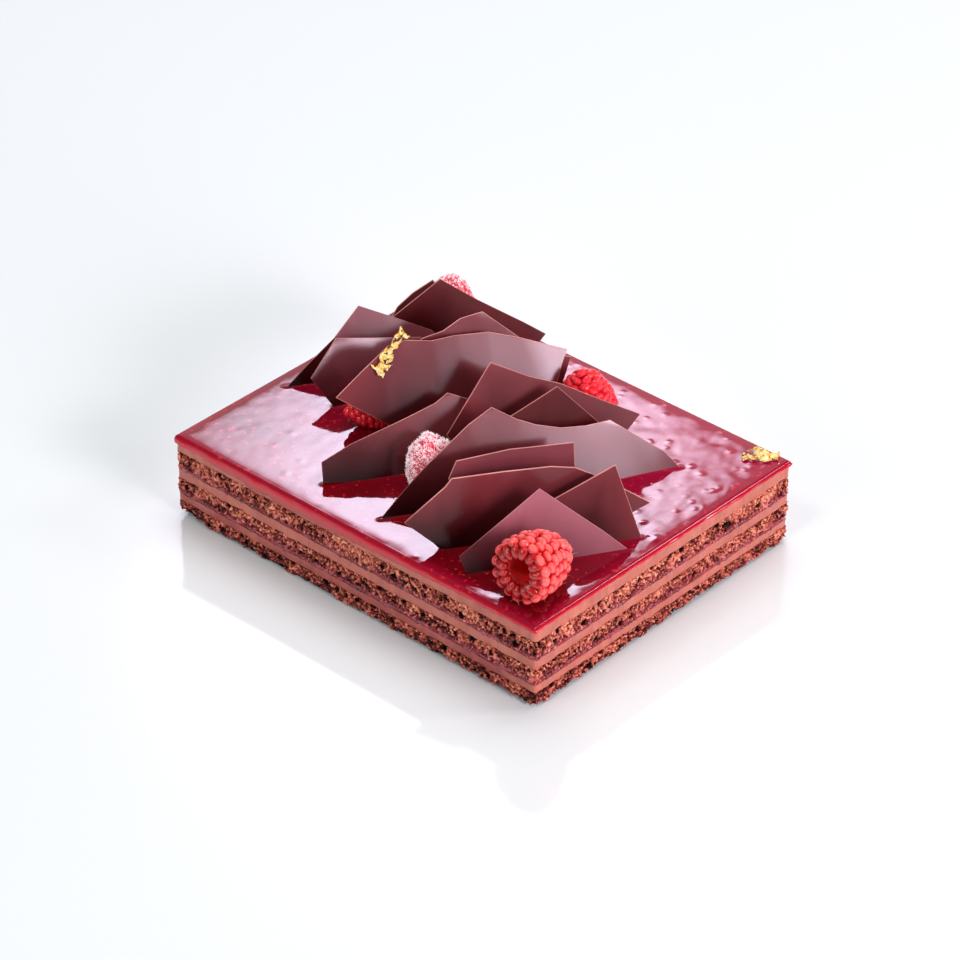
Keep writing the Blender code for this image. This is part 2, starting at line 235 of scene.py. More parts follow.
backdrop = soft_light("backdrop_light", 222, 22, 3.0, (4.0, 2.4), 26, (1.0, 0.95, 1.0))
fade_light(backdrop, (0.6, 0.7), 1.6)
back_light = soft_light("back_light", 223.3, 36.3, 1.9, (0.58, 0.50), 11, (0.86, 0.78, 1.0))
fade_light(back_light, (0.48, 0.48), 1.6)
sheen_light = soft_light("sheen_light", 89, 26.5, 1.6, (0.80, 0.44), 30, (1.0, 0.85, 1.0))
fade_light(sheen_light, (0.5, 0.5), 1.4)
soft_light("top_light", 200, 70, 1.8, (1.4, 1.0), 18, (1.0, 0.98, 0.98), mirrored=False)
soft_light("key_light", 82, 20, 1.6, (0.6, 0.5), 11, (1.0, 0.95, 0.94), mirrored=False)
soft_light("side_light", 137, 33, 1.7, (0.16, 0.40), 4, (1.0, 0.90, 0.95))
soft_light("fill_light", -8, 24, 1.8, (1.2, 0.6), 8, (1.0, 0.97, 0.98))
soft_light("glint_light", 8, 58, 1.6, (0.25, 0.25), 3.5, (1.0, 0.97, 0.97))
print("table and", len(bpy.data.lights), "lights")

# %% [markdown]
# ## Working by hand in edit mode
#
# Every operator acts on what is selected. One helper makes a piece the only
# selected one, another picks vertices, edges or faces by a test, and others
# extrude edges, apply a modifier at once or move a wall by a texture.

# %% Helpers


def mode(name):
    bpy.ops.object.mode_set(mode=name)


def just_made(name):
    """The object that an operator just made, with its name set."""
    made = bpy.context.object
    made.name = made.data.name = name
    return made


def work_on(piece):
    """Leave only this piece selected and active."""
    bpy.ops.object.select_all(action="DESELECT")
    piece.select_set(True)
    bpy.context.view_layer.objects.active = piece


def joined(pieces):
    """Join pieces into the first of them."""
    work_on(pieces[0])
    for piece in pieces:
        piece.select_set(True)
    bpy.ops.object.join()
    return pieces[0]


def pick(piece, kind, test):
    """Select the VERT, EDGE or FACE elements that pass a test, in edit mode."""
    bpy.ops.mesh.select_mode(type=kind)
    bpy.ops.mesh.select_all(action="DESELECT")
    mesh = bmesh.from_edit_mesh(piece.data)
    for item in {"VERT": mesh.verts, "EDGE": mesh.edges, "FACE": mesh.faces}[kind]:
        if test(item):
            item.select_set(True)
    mesh.select_flush_mode()
    bmesh.update_edit_mesh(piece.data)


def pick_all():
    bpy.ops.mesh.select_all(action="SELECT")


def extrude_edges(z):
    """Extrude the selected edges straight up, or down for a negative z."""
    bpy.ops.mesh.extrude_edges_move(TRANSFORM_OT_translate={"value": (0, 0, z)})


def apply_modifier(piece, kind, **settings):
    """Add a modifier with its settings and apply it."""
    work_on(piece)
    modifier = piece.modifiers.new(kind.title(), kind)
    for name, value in settings.items():
        setattr(modifier, name, value)
    bpy.ops.object.modifier_apply(modifier=modifier.name)


def displace(piece, pattern, strength, middle, direction="NORMAL", group="wall"):
    """Move the points of a group by a texture; the middle level stays put."""
    apply_modifier(piece, "DISPLACE", texture=pattern, texture_coords="LOCAL",
                   strength=strength, mid_level=middle, direction=direction,
                   vertex_group=group)


def texture(name, kind, size, **settings):
    """A procedural texture for the Displace modifier, size in metres."""
    made = bpy.data.textures.new(name, kind)
    made.noise_scale = size
    for key, value in settings.items():
        setattr(made, key, value)
    return made


def clouds(name, size, depth, kind="COLOR"):
    """A cloud texture; a coloured one can move points in all directions."""
    return texture(name, "CLOUDS", size, cloud_type=kind, noise_depth=depth)


def finish_piece(piece, slot_name, *replaced):
    """Let a piece ride on the cake and stand for the solids it replaces."""
    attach(piece, "root")
    if replaced:
        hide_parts(*replaced)
    print(piece.name, len(piece.data.polygons), "faces")


def smooth_and_finish(piece, look, slot_name, *replaced):
    """Give a piece its material, smooth it and finish it."""
    piece.data.materials.append(look)
    work_on(piece)
    bpy.ops.object.shade_smooth()
    finish_piece(piece, slot_name, *replaced)


def points_of(piece):
    """The vertices of a piece as rows of x, y, z."""
    flat = np.empty(len(piece.data.vertices) * 3)
    piece.data.vertices.foreach_get("co", flat)
    return flat.reshape(-1, 3)


def move_points(piece, points):
    piece.data.vertices.foreach_set("co", points.ravel())
    piece.data.update()


def noise_at(points, size, level=0.0):
    """Noise from -1 to 1 over x and y, with bumps of one size."""
    return np.array([noise.noise(Vector((x, y, level)) / size) for x, y, _ in points])


def paint_points(piece, name, values):
    """Store one number for each vertex, which a material can read."""
    made = piece.data.attributes.new(name, "FLOAT", "POINT")
    made.data.foreach_set("value", np.asarray(values, dtype=np.float32))


# %% [markdown]
# ## The layers
#
# Each layer is a slab whose only visible part is its cut side. A slab is made
# from a cube: its upright edges are rounded, all but its top outline is
# deleted, the outline is cut into short steps, and rows are extruded down from
# it. That gives a fine even wall. Displace modifiers then turn the wall into
# crumb, smooth ganache or sticky jam.

# %% Sizes of the layers
BODY_LENGTH = 170.1 * MM
BODY_WIDTH = 133.4 * MM
CORNER_RADIUS = 1.2 * MM
RIM_SHELF = 1.0 * MM
SEAM_OVERLAP = 0.3 * MM


def cake_slab(name, low, high, step):
    """A slab with a fine wall; its top and bottom stay plain."""
    bpy.ops.mesh.primitive_cube_add(size=1, location=(0, 0, (low + high) / 2),
                                    scale=(BODY_LENGTH, BODY_WIDTH, high - low))
    slab = just_made(name)
    bpy.ops.object.transform_apply()
    mode("EDIT")
    pick(slab, "EDGE", lambda e: e.verts[0].co.xy == e.verts[1].co.xy)
    bpy.ops.mesh.bevel(offset=CORNER_RADIUS, segments=4)
    pick_all()
    bpy.ops.mesh.delete(type="ONLY_FACE")
    middle = (low + high) / 2
    pick(slab, "VERT", lambda v: v.co.z < middle)
    bpy.ops.mesh.delete(type="VERT")
    for axis, side in ((0, BODY_LENGTH), (1, BODY_WIDTH)):
        coarse = 8
        fine = round(side / coarse / step)
        for cuts in (coarse - 1, fine - 1):
            pick(slab, "EDGE", lambda e: abs((e.verts[0].co - e.verts[1].co)[axis]) > 2 * MM)
            bpy.ops.mesh.subdivide(number_cuts=cuts)
    rows = max(3, round((high - low) / step))
    pick_all()
    for _ in range(rows):
        extrude_edges((low - high) / rows)
    for level in (high, low):
        near = 0.25 * (high - low) / rows
        pick(slab, "EDGE", lambda e: all(abs(v.co.z - level) < near for v in e.verts))
        bpy.ops.mesh.edge_face_add()
        bpy.ops.mesh.inset(thickness=RIM_SHELF)
    pick_all()
    bpy.ops.mesh.normals_make_consistent()
    mode("OBJECT")
    points = points_of(slab)
    wall = slab.vertex_groups.new(name="wall")
    reach = out_of_side(points)
    wall.add(np.flatnonzero(reach > -0.4 * RIM_SHELF).tolist(), 1.0, "REPLACE")
    return slab


def out_of_side(points):
    """How far points stand out of the cake's flat sides."""
    return np.maximum(np.abs(points[:, 0]) - BODY_LENGTH / 2,
                      np.abs(points[:, 1]) - BODY_WIDTH / 2)


def node_heights(node):
    low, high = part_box(node)
    return low.z, high.z


# %% [markdown]
# ## Sponge
#
# Sponge is an open crumb: grains of about a millimetre, overhangs, and now and
# then a deep pore. The order matters. Wide waves come first and the pores, dug
# by a ramp on a coarse cell texture, while the wall is still even. A coloured
# cloud texture then moves it in all three directions, which gives overhangs,
# and fine cells add the grains. The foot of the lowest sponge is ragged. The
# lower part of each sponge has soaked up raspberry, so that share is stored on
# the points for the material.

# %% Shape the sponges
SPONGE_STEP = 0.30 * MM
WAVE_DEPTH = 0.9 * MM
PORE_DEPTH = 3.2 * MM
CLOUD_REACH = 2.3 * MM
GRAIN_HEIGHT = 1.1 * MM
FOOT_LIFT = 1.6 * MM
CORNER_LIFT = 1.7 * MM
CORNER_LIFT_REACH = 13 * MM
SOAKED_SHARE = 0.42
SOAKED_BLUR = 0.18

crumb_clouds = clouds("crumb_clouds", 0.95 * MM, 3)
crumb_grains = texture("crumb_grains", "VORONOI", 1.0 * MM, distance_metric="DISTANCE")
crumb_waves = clouds("crumb_waves", 7 * MM, 1, "GRAYSCALE")
pore_cells = texture("pore_cells", "VORONOI", 4.6 * MM, use_color_ramp=True)
pore_stops = pore_cells.color_ramp.elements
pore_stops[0].position, pore_stops[0].color = 0.15, (0, 0, 0, 1)
pore_stops[1].position, pore_stops[1].color = 0.27, (1, 1, 1, 1)


def sponge(name, node, soaked):
    """A crumbly sponge over the full height of its solid."""
    low, high = node_heights(node)
    low = 0.0 if low < MM else low - SEAM_OVERLAP / 2
    high += SEAM_OVERLAP
    piece = cake_slab(name, low, high, SPONGE_STEP)
    displace(piece, crumb_waves, WAVE_DEPTH, 0.62)
    displace(piece, pore_cells, PORE_DEPTH, 1.0)
    displace(piece, crumb_clouds, CLOUD_REACH, 0.5, "RGB_TO_XYZ")
    displace(piece, crumb_grains, -GRAIN_HEIGHT, 0.42)
    points = points_of(piece)
    share = (points[:, 2] - low) / (high - low)
    ragged = np.array([noise.noise(Vector(p) / (3 * MM)) for p in points])
    soak = np.clip((SOAKED_SHARE + 0.35 * ragged - share) / SOAKED_BLUR, 0, 1) * soaked
    if low == 0.0:
        lift_foot(points, low, high)
    points[:, 2] = np.maximum(points[:, 2], 0.05 * MM)
    move_points(piece, points)
    paint_points(piece, "soaked", soak)
    return piece


def lift_foot(points, low, high):
    """The lower rim hangs ragged and lifts at the left front corner."""
    corner = np.array((-BODY_LENGTH / 2, -BODY_WIDTH / 2))
    away = np.linalg.norm(points[:, :2] - corner, axis=1) / CORNER_LIFT_REACH
    rough = noise_at(points, 4.5 * MM)
    lift = FOOT_LIFT * np.clip(0.5 + rough, 0, 1) + CORNER_LIFT * np.exp(-away * away)
    outer = np.clip((out_of_side(points) + 2.6 * MM) / (2.0 * MM), 0, 1)
    keep = np.clip((high - points[:, 2]) / (high - low), 0, 1)
    points[:, 2] += lift * outer * keep


# %% [markdown]
# ## The sponge's material
#
# A baked crumb is light brown where it stands out. Deep in the pores it lies in
# shade, and that shade is painted: the colour follows how far a point stands
# out of the side, down to almost black, broken up by fine noise. Where raspberry
# has soaked in, it turns to a purple red with a damp shine, darkened the same
# way in the pores.

# %% Sponge material


def sponge_material():
    made, tree, shader = tinted("chocolate_sponge", (0.12, 0.045, 0.03), 0.8,
                                Specular_IOR_Level=0.3)
    depth = attribute_node(tree, "standing_out")
    fine = noise_node(tree, 0.65 * MM, 4)
    broad = noise_node(tree, 9 * MM, 2)
    level = math_node(tree, "MULTIPLY_ADD", fine, 0.50, math_node(tree, "MULTIPLY", depth, 0.85))
    level = math_node(tree, "MULTIPLY_ADD", broad, 0.20, level)
    level = math_node(tree, "MULTIPLY_ADD", level, 2.0, -1.10)
    # Painted shade: the crumb colour runs down to almost black deep in the pores.
    crumb = ramp_node(tree, level, (
        (0.06, (0.010, 0.0006, 0.0004)), (0.28, (0.12, 0.012, 0.008)),
        (0.50, (0.46, 0.092, 0.062)), (0.76, (0.82, 0.255, 0.160)),
        (1.0, (0.93, 0.42, 0.28))))
    berry = ramp_node(tree, level, (
        (0.10, (0.012, 0.0006, 0.0012)), (0.36, (0.13, 0.009, 0.013)),
        (0.66, (0.46, 0.055, 0.060)), (1.0, (0.85, 0.25, 0.26))))
    soaked = attribute_node(tree, "soaked")
    colour = blend_node(tree, soaked, crumb, berry)
    shine = math_node(tree, "MULTIPLY_ADD", soaked, -0.42, 0.82)
    tree.links.new(shine, shader.inputs["Roughness"])
    wire(tree, shader, colour, noise_node(tree, 0.35 * MM, 4), 0.2 * MM, 0.8)
    return made


SPONGE = sponge_material()


def paint_depth(piece, tone):
    """Store how far each point stands out, 0 in a pore and 1 on a crumb."""
    reach = out_of_side(points_of(piece))
    paint_points(piece, "standing_out", tone * np.clip((reach + 1.3 * MM) / (2.1 * MM), 0, 1))


# Name, how soaked the lower part is, and how light the crumb is baked.
SPONGES = (("sponge_base", 0.6, 0.86), ("sponge_middle", 1.0, 0.94), ("sponge_top", 0.8, 1.0))
for sponge_name, soaked, tone in SPONGES:
    piece = sponge(sponge_name + "_crumb", sponge_name, soaked)
    paint_depth(piece, tone)
    smooth_and_finish(piece, SPONGE, "sponge", sponge_name)

# %% [markdown]
# ## Ganache
#
# Ganache was cut with a hot knife, so its side is smooth, with faint upright
# drag marks and a wavy edge against the sponge. A wide cloud texture is enough
# for the shape; the drag marks are a stretched noise in the material.

# %% Ganache bands
GANACHE_STEP = 0.6 * MM
GANACHE_WAVE = 0.35 * MM
GANACHE_WANDER = 0.7 * MM
ganache_waves = clouds("ganache_waves", 6 * MM, 2, "GRAYSCALE")
ganache_edges = clouds("ganache_edges", 4 * MM, 2)


def ganache_material():
    made, tree, shader = tinted("ganache", (0.50, 0.14, 0.10), 0.42, Subsurface_Weight=0.08,
                                Subsurface_Radius=(0.002, 0.0008, 0.0005))
    where = tree.nodes.new("ShaderNodeTexCoord")
    stretched = add_node(tree, "ShaderNodeMapping", Scale=(1, 1, 0.12))
    tree.links.new(where.outputs["Object"], stretched.inputs["Vector"])
    drags = add_node(tree, "ShaderNodeTexNoise", Scale=1 / (2.2 * MM), Detail=4.0)
    tree.links.new(stretched.outputs["Vector"], drags.inputs["Vector"])
    broad = noise_node(tree, 14 * MM, 3)
    level = math_node(tree, "MULTIPLY_ADD", drags.outputs["Fac"], 0.5,
                      math_node(tree, "MULTIPLY", broad, 0.5))
    colour = ramp_node(tree, level, (
        (0.32, (0.42, 0.102, 0.074)), (0.5, (0.52, 0.138, 0.097)),
        (0.66, (0.60, 0.175, 0.120))))
    height = tree.nodes.new("ShaderNodeSeparateXYZ")
    tree.links.new(where.outputs["Object"], height.inputs[0])
    # Darker and redder towards the bottom, on the front side only, fading out before the right
    # side.
    darker_low_front = math_node(tree, "MULTIPLY_ADD", height.outputs[2], -1 / (22 * MM), 1.05)
    front = math_node(tree, "MULTIPLY_ADD", height.outputs[0], -1 / (20 * MM), 4.6)
    front = ramp_node(tree, front, ((0.35, (0.45, 0.45, 0.45)), (1.0, (1, 1, 1))))
    darker_low_front = math_node(tree, "MULTIPLY", darker_low_front, front)
    darker_low_front = math_node(tree, "MULTIPLY", darker_low_front, noise_node(tree, 7 * MM, 3))
    darker_low_front = ramp_node(tree, darker_low_front, ((0.18, (0, 0, 0)), (0.45, (0.7, 0.7, 0.7))))
    colour = blend_node(tree, darker_low_front, colour, (0.28, 0.024, 0.030))
    wire(tree, shader, colour, level, 0.15 * MM, 0.6)
    return made


GANACHE = ganache_material()
for ganache_name in ("ganache_lower", "ganache_middle", "ganache_top"):
    low, high = node_heights(ganache_name)
    piece = cake_slab(ganache_name + "_band", low, high + SEAM_OVERLAP, GANACHE_STEP)
    displace(piece, ganache_waves, GANACHE_WAVE, 0.75)
    displace(piece, ganache_edges, GANACHE_WANDER, 0.5, "RGB_TO_XYZ")
    piece.data.materials.append(GANACHE)
    work_on(piece)
    bpy.ops.object.shade_smooth_by_angle(angle=radians(50))
    finish_piece(piece, "ganache", ganache_name)

# %% [markdown]
# ## Raspberry jam
#
# Two thin seams of jam squeeze out a little between the ganache and the sponge
# above. They are wet and lumpy with seeds, so a strong colour cloud moves the
# wall and the material stays glossy.

# %% Jam seams
JAM_STEP = 0.3 * MM
JAM_RUN = 1.0 * MM
JAM_LUMP = 1.3 * MM
jam_lumps = clouds("jam_lumps", 1.6 * MM, 2)
jam_runs = clouds("jam_runs", 5 * MM, 1, "GRAYSCALE")


def jam_material():
    made, tree, shader = tinted("raspberry_jam", (0.2, 0.01, 0.04), 0.22, Coat_Weight=0.5,
                                Coat_Roughness=0.08)
    level = math_node(tree, "MULTIPLY_ADD", noise_node(tree, 1.4 * MM, 3), 0.6,
                      math_node(tree, "MULTIPLY", noise_node(tree, 8 * MM, 2), 0.4))
    colour = ramp_node(tree, level, (
        (0.34, (0.050, 0.002, 0.005)), (0.48, (0.22, 0.008, 0.024)),
        (0.60, (0.40, 0.038, 0.066)), (0.72, (0.62, 0.095, 0.140))))
    wire(tree, shader, colour, noise_node(tree, 0.6 * MM, 3), 0.2 * MM, 0.7)
    return made


JAM = jam_material()
for jam_name in ("raspberry_jam_lower", "raspberry_jam_upper"):
    low, high = node_heights(jam_name)
    piece = cake_slab(jam_name + "_seam", low - SEAM_OVERLAP, high + 2 * SEAM_OVERLAP, JAM_STEP)
    displace(piece, jam_runs, JAM_RUN, 0.75)
    displace(piece, jam_lumps, JAM_LUMP, 0.5, "RGB_TO_XYZ")
    smooth_and_finish(piece, JAM, "jam", jam_name)

# %% [markdown]
# ## Chocolate shards
#
# The shards are broken from a thin satin sheet. Each solid already has the
# right outline and bow, so a copy of it is merged into a clean shell, its foot
# is sunk into the glaze, and a Bevel rounds the rim. The broken rim shows
# paler chocolate with a painted highlight where the edge catches the light, so
# its faces get their own material. Weighted normals keep the broad faces calm.
# Two numbers on the points tune the colour: how much painted sheen a shard
# has, and how much painted shade a point gets, more near the glaze, where the
# shards shade each other's feet.

# %% Chocolate materials
SHARD_PREFIX = "chocolate_shard_"
SHARD_NAMES = sorted(n for n in nodes if n.startswith(SHARD_PREFIX))
SHARD_SINK = 0.9 * MM
SHARD_FOOT = 1.2 * MM
SHARD_BEVEL = 0.14 * MM
FOOT_SHADE_HEIGHT = 18 * MM
GLAZE_TOP = 33.5 * MM

# How much painted sheen each shard has, from 0 to 1; the others have a little.
SHEEN_TINT = (0.48, 0.17, 0.22)
LITTLE_SHEEN = 0.07
SHEEN_OF = {"front": 0.65, "pale": 0.08, "left": 0.35, "left_high": 0.18, "back": 0.0,
            "triangle": 0.0, "left_dark": 0.0, "strip": 0.16}
# Some shards lie in the shade of others, so painted shade darkens them all over,
# as much as the foot shade this share of the way down.
SHADED_SHARDS = ("back", "triangle", "left_dark")
PAINTED_SHADE_SHARE = 0.3


def chocolate_material(name, low_colour, high_colour, roughness):
    made, tree, shader = tinted(name, high_colour, roughness)
    broad = noise_node(tree, 22 * MM, 3)
    colour = ramp_node(tree, broad, ((0.3, low_colour), (0.7, high_colour)))
    # Painted sheen: a pale mauve blended in, most on the shards that catch the light.
    colour = blend_node(tree, attribute_node(tree, "painted_sheen"), colour, SHEEN_TINT)
    # Painted shade: the colour darkens towards the glaze, where the shards shade each other's
    # feet.
    foot_shade = ramp_node(tree, attribute_node(tree, "painted_foot_shade"), (
        (0.0, (1, 1, 1)), (0.5, (0.36, 0.24, 0.26)), (1.0, (0.06, 0.01, 0.02))))
    colour = blend_node(tree, 1.0, colour, foot_shade, "MULTIPLY")
    worn = math_node(tree, "MULTIPLY_ADD", noise_node(tree, 14 * MM, 2), 0.08, roughness - 0.04)
    tree.links.new(worn, shader.inputs["Roughness"])
    wire(tree, shader, colour, noise_node(tree, 30 * MM, 1), 0.5 * MM, 0.3)
    return made


CHOCOLATE = chocolate_material("satin_chocolate", (0.125, 0.014, 0.017),
                               (0.170, 0.021, 0.025), 0.17)
# The broken rim is paler chocolate, and its colour also holds a painted highlight where the edge
# catches the light.
PALE_RIM_AND_HIGHLIGHT = chocolate_material("broken_chocolate_and_highlight", (0.58, 0.19, 0.17),
                                   (0.86, 0.38, 0.32), 0.5)


def shard(node):
    """A finished shard from its solid."""
    mesh = nodes[node].data.copy()
    piece = linked(node + "_satin", mesh)
    mesh.materials.clear()
    mesh.materials.append(CHOCOLATE)
    mesh.materials.append(PALE_RIM_AND_HIGHLIGHT)
    work_on(piece)
    mode("EDIT")
    pick_all()
    bpy.ops.mesh.remove_doubles(threshold=0.02 * MM)
    bpy.ops.mesh.tris_convert_to_quads()
    pick(piece, "VERT", lambda v: v.co.z < GLAZE_TOP + SHARD_FOOT)
    bpy.ops.transform.translate(value=(0, 0, -SHARD_SINK))
    mode("OBJECT")
    areas = {}
    for face in mesh.polygons:
        key = tuple(round(c, 1) for c in face.normal)
        areas[key] = areas.get(key, 0) + face.area
    facing = Vector(max(areas, key=areas.get))
    for face in mesh.polygons:
        face.material_index = 0 if abs(face.normal.dot(facing)) > 0.8 else 1
    apply_modifier(piece, "BEVEL", width=SHARD_BEVEL, segments=2, limit_method="ANGLE",
                   angle_limit=radians(40), material=1)
    bpy.ops.object.shade_smooth()
    apply_modifier(piece, "WEIGHTED_NORMAL", keep_sharp=True)
    points = points_of(piece)
    above = points[:, 2] - GLAZE_TOP
    share = (points[:, 1] - points[:, 1].min()) / np.ptp(points[:, 1])
    # Painted shade at the feet: stronger near the glaze and towards the shard's -Y end.
    foot_shade = np.clip(1 - above / FOOT_SHADE_HEIGHT, 0, 1) * np.clip(1.2 - 1.2 * share, 0.15, 1)
    which = node.removeprefix(SHARD_PREFIX)
    # Shards in the shade of others get painted shade all over.
    paint_points(piece, "painted_foot_shade", np.maximum(foot_shade, PAINTED_SHADE_SHARE if which in SHADED_SHARDS else 0))
    paint_points(piece, "painted_sheen", np.full(len(above), SHEEN_OF.get(which, LITTLE_SHEEN)))
    return piece


feet = []
for node in SHARD_NAMES:
    piece = shard(node)
    ground = [v.co.xy for v in nodes[node].data.vertices if v.co.z < GLAZE_TOP + SHARD_FOOT]
    ends = max(((a, b) for a in ground for b in ground), key=lambda p: (p[0] - p[1]).length)
    feet.append((np.array(ends[0]), np.array(ends[1])))
    finish_piece(piece, "chocolate", node)

# %% [markdown]
# ## Raspberries
#
# A raspberry is a cap of drupelets in staggered rings round a hollow core. The
# core is spun from its profile. One drupelet is shaped from a sphere, and its
# copies are set on the rings, a little smaller towards the tip. Fine hairs
# stand on the drupelets. Two of the berries are frosted: small ice crystals
# cover them.

# %% Sizes of the raspberries
# Name, middle of the open end (x, y), length, greatest radius, heading, rise,
# depth of the hollow, finish: millimetres and degrees.
RASPBERRIES = (
    ("raspberry_front", (71.3, -59.8), 25.0, 11.4, 94, -9, 14.0, "fresh"),
    ("raspberry_frosted_middle", (4.9, -28.7), 14.5, 8.8, 160, 62, 0.0, "frosted"),
    ("raspberry_left", (-33.6, -8.0), 18.0, 8.9, 238, -9, 0.0, "ripe"),
    ("raspberry_right", (16.5, 38.9), 19.5, 9.9, 250, 78, 0.0, "ripe"),
    ("raspberry_frosted_back", (-64.2, 58.8), 17.0, 8.4, 262, -9, 0.0, "frosted"),
)
PROFILE_SHARES = (0.00, 0.07, 0.20, 0.36, 0.52, 0.68, 0.82, 0.93, 1.00)
PROFILE_RADII = (0.93, 1.00, 1.01, 0.965, 0.88, 0.75, 0.57, 0.34, 0.0)
# Rings of drupelets from the open end: share of the length, how many, and
# how far their crowns lean back towards the open end in degrees.
RINGS = (
    (0.05, 16, -48), (0.16, 17, -8), (0.27, 17, 0), (0.38, 16, 4), (0.49, 15, 9),
    (0.60, 13, 16), (0.71, 11, 25), (0.81, 9, 36), (0.90, 6, 52), (0.965, 3, 70), (1.0, 1, 90),
)
LIP_DRUPELETS = 15
LIP_WIDE, LIP_DEEP, LIP_HIGH = 1.786 * MM, 3.3 * MM, 1.9 * MM
LIP_RADIUS = 10.4 * MM
DRUPELET_WIDEST, DRUPELET_DEEP, DRUPELET_HIGH = 2.2 * MM, 1.75 * MM, 1.85 * MM
DRUPELET_LAP = 0.55 * MM
CORE_WIDTH = 0.88
BERRY_SINK = 0.4 * MM
HAIRS, HAIR_LENGTH = 150, 1.5 * MM
CRYSTALS, CRYSTAL_LENGTH = 4600, 0.9 * MM
berry_draws = random.Random(31)


def berry_radius(share):
    return float(np.interp(share, PROFILE_SHARES, PROFILE_RADII))


def spun_core(name, length, radius, hollow):
    """The flesh under the drupelets: a profile spun round the berry's axis."""
    outline = [(CORE_WIDTH * radius * berry_radius(s), length * (0.04 + 0.9 * s))
               for s in np.linspace(0, 1, 12)]
    outline[-1] = (0.0, 0.95 * length)
    if hollow:
        walls = ((0.56, 0.03), (0.48, 0.22), (0.40, 0.6), (0.26, 0.9), (0.0, 1.0))
        outline = [(radius * r, hollow * z) for r, z in reversed(walls)] + outline
    else:
        outline = [(0.0, outline[0][1])] + outline
    bpy.ops.mesh.primitive_plane_add(size=MM)
    core = just_made(name)
    mode("EDIT")
    pick(core, "VERT", lambda v: v.index > 0)
    bpy.ops.mesh.delete(type="VERT")
    pick_all()
    start = bmesh.from_edit_mesh(core.data).verts[:][0].co.copy()
    at = Vector((outline[0][0], 0, outline[0][1]))
    bpy.ops.transform.translate(value=at - start)
    for r, z in outline[1:]:
        there = Vector((r, 0, z))
        bpy.ops.mesh.extrude_vertices_move(TRANSFORM_OT_translate={"value": there - at})
        at = there
    pick_all()
    bpy.ops.mesh.spin(steps=32, angle=2 * pi, center=(0, 0, 0), axis=(0, 0, 1))
    pick_all()
    bpy.ops.mesh.remove_doubles(threshold=0.01 * MM)
    bpy.ops.mesh.normals_make_consistent()
    mode("OBJECT")
    return core


def one_drupelet():
    """A bead with a slightly pointed crown, one unit high."""
    bpy.ops.mesh.primitive_uv_sphere_add(segments=14, ring_count=9)
    bead = just_made("drupelet")
    mode("EDIT")
    pick(bead, "VERT", lambda v: v.co.z > 0.9)
    bpy.ops.transform.translate(value=(0, 0, 0.05), use_proportional_edit=True,
                                proportional_size=0.7)
    mode("OBJECT")
    return bead


def join_copies(pattern, places, name):
    """Copies of a pattern mesh at each place, joined into one object."""
    copies = []
    for place in places:
        mesh = pattern.data.copy()
        mesh.transform(place)
        copies.append(linked(name, mesh))
    return joined(copies)


def way_to(turn, lift):
    """A unit vector turned round z and lifted, both in radians."""
    level = cos(lift)
    return Vector((cos(turn) * level, sin(turn) * level, sin(lift)))


def set_drupelet(spot, angle, lean, size):
    """A frame on the skin whose z points out of the crown."""
    out = way_to(angle, radians(lean))
    side = Vector((-sin(angle), cos(angle), 0))
    turn = Matrix((side, out.cross(side), out)).transposed().to_4x4()
    wide = size * berry_draws.uniform(0.92, 1.08)
    return Matrix.Translation(spot) @ turn @ Matrix.Diagonal((*wide, 1))


def ring_places(length, radius):
    """Where the drupelets sit: a lip that turns into the hollow, then rings."""
    places = []
    for k in range(LIP_DRUPELETS):
        angle = 2 * pi * (k + berry_draws.uniform(-0.12, 0.12)) / LIP_DRUPELETS
        reach = radius * 0.66
        spot = Vector((reach * cos(angle), reach * sin(angle), 0.02 * length))
        size = Vector((LIP_WIDE * radius / LIP_RADIUS,
                       LIP_DEEP * berry_draws.uniform(0.85, 1.1), LIP_HIGH))
        places.append(set_drupelet(spot, angle, -76, size))
    for ring, (share, count, lean) in enumerate(RINGS):
        reach = max(0.0, radius * berry_radius(share) - 1.35 * MM)
        pitch = 2 * pi * max(reach, DRUPELET_LAP) / count
        for k in range(count):
            step = k + 0.5 * (ring % 2) + berry_draws.uniform(-0.13, 0.13)
            angle = 2 * pi * step / count
            along = length * (share + berry_draws.uniform(-0.018, 0.018))
            along -= 0.6 * MM * (share > 0.8)
            spot = Vector((reach * cos(angle), reach * sin(angle), along))
            wide = min(0.68 * (pitch + DRUPELET_LAP), DRUPELET_WIDEST)
            size = Vector((wide, DRUPELET_DEEP, DRUPELET_HIGH))
            places.append(set_drupelet(spot, angle, lean, size))
    return places


# %% [markdown]
# ### Hairs and frost
#
# The hairs are what is left of the flower: thin straight threads, leaning every
# way. Frost is made of many little crystals, each a five-sided needle, thickest
# where the berry faces up and out.

# %% Spikes and scattering


def one_spike(name, sides, foot, tip, middle):
    """A thin cone one unit long that stands along z."""
    bpy.ops.mesh.primitive_cone_add(vertices=sides, radius1=foot, radius2=tip, depth=1,
                                    location=(0, 0, middle))
    spike = just_made(name)
    bpy.ops.object.transform_apply()
    return spike


